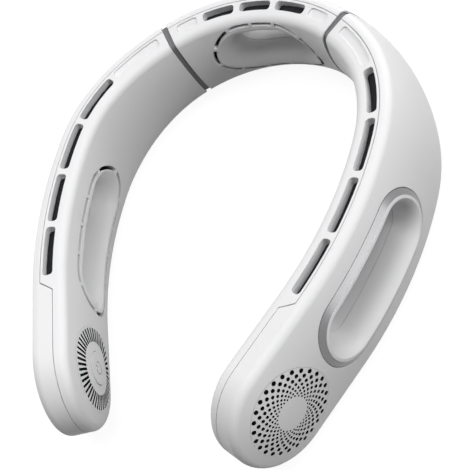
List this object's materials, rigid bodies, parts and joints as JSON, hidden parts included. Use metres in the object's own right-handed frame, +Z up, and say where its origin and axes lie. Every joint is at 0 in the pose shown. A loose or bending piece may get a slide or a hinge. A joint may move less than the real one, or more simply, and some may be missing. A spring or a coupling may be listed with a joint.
{
  "type": "electric neck fan",
  "caption": "Horseshoe collar of hinged segments that rests on the shoulders, with a blower in each rounded tip, oval air ducts and vents along its top edge.",
  "frame": {"origin": "on the surface it stands on, below the middle of the collar's box", "axes": "+Z up, -Y towards the open front, +X towards the arm on the right as seen from the front"},
  "size_m": [0.1788, 0.2188, 0.0519],
  "materials": {
    "white_shell": "satin white moulding",
    "joint_grey": "soft matt grey",
    "trim": "satin silver",
    "mesh": "matt black",
    "inner_plastic": "matt dark",
    "steel": "plain steel",
    "copper": "copper and bronze",
    "battery_wrap": "foil wrap",
    "board": "green board"
  },
  "bodies": {
    "rear": {"rear_inner_shell": "white_shell", "rear_outer_shell": "white_shell", "rear_duct_bezel": "white_shell", "rear_trim_ring": "trim", "rear_vent_mesh": "mesh", "left_hinge_barrel": "joint_grey", "right_hinge_barrel": "joint_grey", "left_hinge_pin": "steel", "right_hinge_pin": "steel"},
    "left_arm": {"left_inner_shell": "white_shell", "left_outer_shell": "white_shell", "left_duct_bezel": "white_shell", "left_trim_ring": "trim", "left_vent_mesh": "mesh", "left_hinge_bracket": "inner_plastic", "left_outer_grille": "white_shell", "left_inner_grille": "white_shell", "left_motor_mount": "inner_plastic", "left_motor_screws": "steel", "left_stator": "copper", "left_bearing": "copper", "left_battery": "battery_wrap", "control_board": "board", "tact_switch": "inner_plastic", "charging_socket": "steel"},
    "left_fan": {"left_impeller": "white_shell", "left_rotor": "steel", "left_shaft": "steel"},
    "right_arm": {"right_inner_shell": "white_shell", "right_outer_shell": "white_shell", "right_duct_bezel": "white_shell", "right_trim_ring": "trim", "right_vent_mesh": "mesh", "right_hinge_bracket": "inner_plastic", "right_outer_grille": "white_shell", "right_inner_grille": "white_shell", "right_motor_mount": "inner_plastic", "right_motor_screws": "steel", "right_stator": "copper", "right_bearing": "copper", "right_battery": "battery_wrap"},
    "right_fan": {"right_impeller": "white_shell", "right_rotor": "steel", "right_shaft": "steel"},
    "power_button": {"power_button": "white_shell"}
  },
  "joints": [
    {"name": "left_arm_hinge", "type": "hinge", "parent": "rear", "child": "left_arm", "pos_m": [-0.04493, 0.08153, 0.02575], "axis": [-0.0937, 0.1296, -0.9871], "range_deg": [-4, 10]},
    {"name": "right_arm_hinge", "type": "hinge", "parent": "rear", "child": "right_arm", "pos_m": [0.04493, 0.08153, 0.02575], "axis": [-0.0937, -0.1296, 0.9871], "range_deg": [-4, 10]},
    {"name": "left_fan_spin", "type": "hinge", "parent": "left_arm", "child": "left_fan", "pos_m": [-0.04848, -0.08378, 0.02575], "axis": [-0.9053, -0.3936, 0.1599], "continuous": true},
    {"name": "right_fan_spin", "type": "hinge", "parent": "right_arm", "child": "right_fan", "pos_m": [0.04848, -0.08378, 0.02575], "axis": [0.9053, -0.3936, 0.1599], "continuous": true},
    {"name": "power_button_press", "type": "slide", "parent": "left_arm", "child": "power_button", "axis": [-0.9053, -0.3936, 0.1599], "range_m": [0, 0.0005], "stiffness_N_per_m": 1200, "springref_m": -0.0003}
  ]
}
